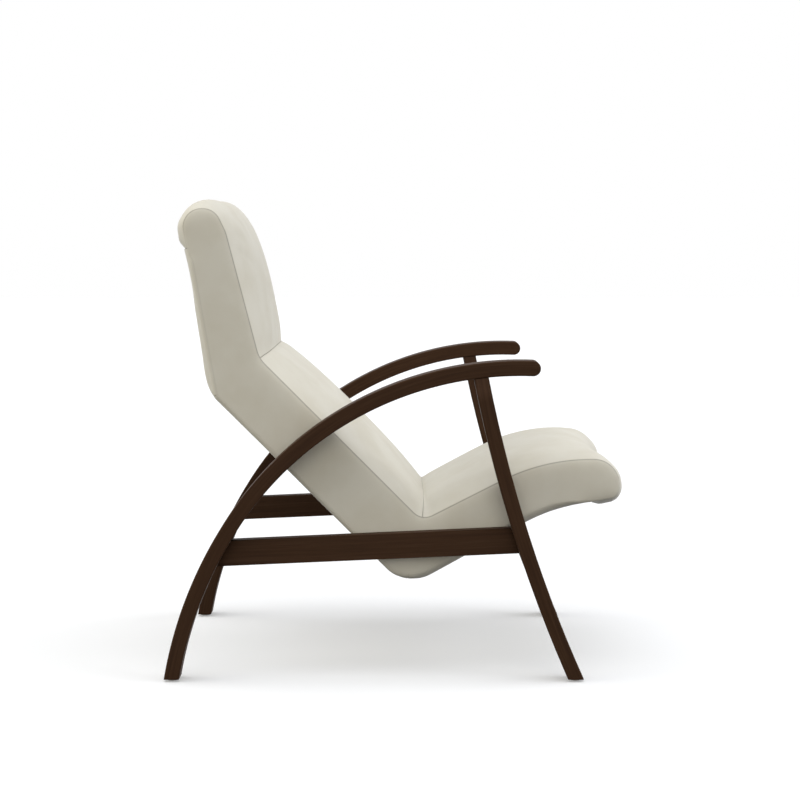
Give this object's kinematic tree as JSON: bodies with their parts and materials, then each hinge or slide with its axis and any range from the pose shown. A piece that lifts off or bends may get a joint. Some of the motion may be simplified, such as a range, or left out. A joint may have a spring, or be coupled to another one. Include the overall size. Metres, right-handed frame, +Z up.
{
  "type": "lounge chair",
  "caption": "Upholstered lounge chair: a crowned one-piece shell with a tall head, carried between bent-wood side frames with arms.",
  "frame": {"origin": "on the floor, at the middle of the chair's width and depth", "axes": "+X across the chair towards the sitter's left, -Y towards the front, +Z up"},
  "size_m": [0.66, 0.8589, 0.8979],
  "materials": {
    "bent_wood": "dark stained, satin lacquer",
    "upholstery": "smooth, matt to satin, off-white",
    "plywood": "raw, sanded",
    "webbing": "woven, matt",
    "steel": "zinc plated",
    "rubber": "matt",
    "glide_plastic": "moulded, satin"
  },
  "bodies": {
    "root": {"right_arm_rear_leg": "bent_wood", "right_front_leg": "bent_wood", "right_side_rail": "bent_wood", "right_rail_front_dowel_1": "plywood", "right_rail_front_dowel_2": "plywood", "right_rail_front_insert": "steel", "right_rail_front_spacer": "rubber", "right_rail_front_bolt": "steel", "right_rail_rear_dowel_1": "plywood", "right_rail_rear_dowel_2": "plywood", "right_rail_rear_insert": "steel", "right_rail_rear_spacer": "rubber", "right_rail_rear_bolt": "steel", "right_arm_dowel_1": "plywood", "right_arm_dowel_2": "plywood", "right_arm_insert": "steel", "right_arm_spacer": "rubber", "right_arm_bolt": "steel", "right_rear_glide": "glide_plastic", "right_front_glide": "glide_plastic", "right_plate": "plywood", "right_side_panel": "upholstery", "left_arm_rear_leg": "bent_wood", "left_front_leg": "bent_wood", "left_side_rail": "bent_wood", "left_rail_front_dowel_1": "plywood", "left_rail_front_dowel_2": "plywood", "left_rail_front_insert": "steel", "left_rail_front_spacer": "rubber", "left_rail_front_bolt": "steel", "left_rail_rear_dowel_1": "plywood", "left_rail_rear_dowel_2": "plywood", "left_rail_rear_insert": "steel", "left_rail_rear_spacer": "rubber", "left_rail_rear_bolt": "steel", "left_arm_dowel_1": "plywood", "left_arm_dowel_2": "plywood", "left_arm_insert": "steel", "left_arm_spacer": "rubber", "left_arm_bolt": "steel", "left_rear_glide": "glide_plastic", "left_front_glide": "glide_plastic", "left_plate": "plywood", "left_side_panel": "upholstery", "head_rail": "plywood", "back_rail": "plywood", "bottom_rail": "plywood", "seat_front_rail": "plywood", "head_strap": "webbing", "lumbar_strap_1": "webbing", "lumbar_strap_2": "webbing", "lumbar_strap_3": "webbing", "seat_strap_1": "webbing", "seat_strap_2": "webbing", "seat_pad": "upholstery", "lumbar_pad": "upholstery", "head_pad": "upholstery", "under_seat_cover": "upholstery", "lower_back_cover": "upholstery", "upper_back_cover": "upholstery"}
  },
  "joints": []
}
